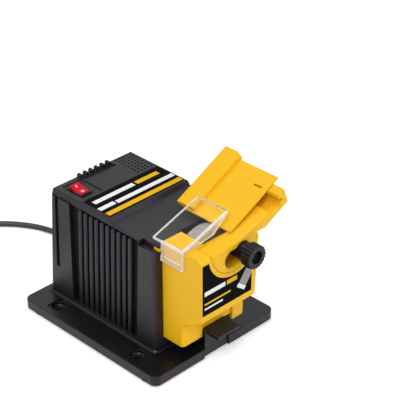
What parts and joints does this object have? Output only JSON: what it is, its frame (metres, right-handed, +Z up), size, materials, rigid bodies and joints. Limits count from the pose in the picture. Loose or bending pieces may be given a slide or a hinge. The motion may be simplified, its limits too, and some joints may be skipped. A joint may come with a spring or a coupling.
{
  "type": "bench tool sharpener",
  "caption": "Electric bench sharpener: ribbed motor housing on a base plate, with a clip-on attachment that guides a chisel or plane blade over a grinding wheel under a clear guard.",
  "frame": {"origin": "on the bench, midway between the bench-screw holes of the base plate", "axes": "+Z up; +Y to the back, where the lead leaves; +X to the right of someone who faces the attachment"},
  "size_m": [0.2297, 0.4217, 0.1718],
  "materials": {
    "black_plastic": "fine-grained black moulding",
    "yellow_plastic": "warm yellow moulding",
    "clear_sheet": "clear sheet",
    "rocker_red": "glossy red",
    "switch_black": "glossy black",
    "knob_black": "black moulding",
    "label_black": "printed film",
    "rubber": "soft black",
    "cord_rubber": "satin black sheath",
    "plug_black": "black moulding",
    "tie_plastic": "black strap",
    "plated_pins": "plated",
    "steel": "turned",
    "laminations": "stacked sheet",
    "bracket_alloy": "die cast",
    "copper": "copper",
    "carbon": "pressed carbon",
    "fan_plastic": "dark moulding",
    "abrasive": "bonded grit"
  },
  "bodies": {
    "machine": {"base_plate": "black_plastic", "rubber_feet": "rubber", "housing_screws": "steel", "housing_shell": "black_plastic", "top_cover": "black_plastic", "cap_label": "label_black", "switch_frame": "switch_black", "switch_terminals": "copper", "stator": "laminations", "field_windings": "copper", "front_bracket": "bracket_alloy", "rear_bracket": "bracket_alloy", "motor_bolts": "steel", "motor_spacers": "steel", "front_bearing": "steel", "rear_bearing": "steel", "brush_holders": "copper", "carbon_brushes": "carbon", "attachment_body": "yellow_plastic", "front_label": "label_black", "eye_guard": "clear_sheet", "clamp_bolt": "steel", "cord_gland": "cord_rubber", "cord_tube": "cord_rubber", "cord_coil": "cord_rubber", "cord_tie": "tie_plastic", "plug_sleeve": "cord_rubber", "plug_body": "plug_black", "plug_pins": "plated_pins"},
    "rotor": {"rotor_shaft": "steel", "rotor_core": "laminations", "rotor_windings": "copper", "commutator": "copper", "cooling_fan": "fan_plastic", "wheel_collar": "steel", "grinding_wheel": "abrasive", "wheel_washer": "steel", "wheel_nut": "steel"},
    "rocker": {"switch_rocker": "rocker_red"},
    "arm": {"tilt_arm": "yellow_plastic"},
    "carriage": {"guide_carriage": "yellow_plastic"},
    "knob": {"clamp_knob": "knob_black"},
    "latch": {"release_latch": "black_plastic"}
  },
  "joints": [
    {"name": "wheel_spin", "type": "hinge", "parent": "machine", "child": "rotor", "pos_m": [0, 0, 0.103], "axis": [0, 1, 0], "continuous": true},
    {"name": "switch_rock", "type": "hinge", "parent": "machine", "child": "rocker", "pos_m": [-0.036, 0.0518, 0.1337], "axis": [-1, 0, 0], "range_deg": [0, 18]},
    {"name": "guide_tilt", "type": "hinge", "parent": "machine", "child": "arm", "pos_m": [0.0023, -0.107, 0.1315], "axis": [0, -1, 0], "range_deg": [0, 16]},
    {"name": "guide_slide", "type": "slide", "parent": "arm", "child": "carriage", "axis": [0, -1, 0], "range_m": [-0.012, 0.012]},
    {"name": "clamp_turn", "type": "hinge", "parent": "machine", "child": "knob", "pos_m": [0.01268, -0.125, 0.11985], "axis": [0, -1, 0], "range_deg": [0, 270]},
    {"name": "latch_press", "type": "hinge", "parent": "machine", "child": "latch", "pos_m": [0, -0.069, 0.011], "axis": [1, 0, 0], "range_deg": [0, 5], "stiffness_Nm_per_rad": 6}
  ]
}
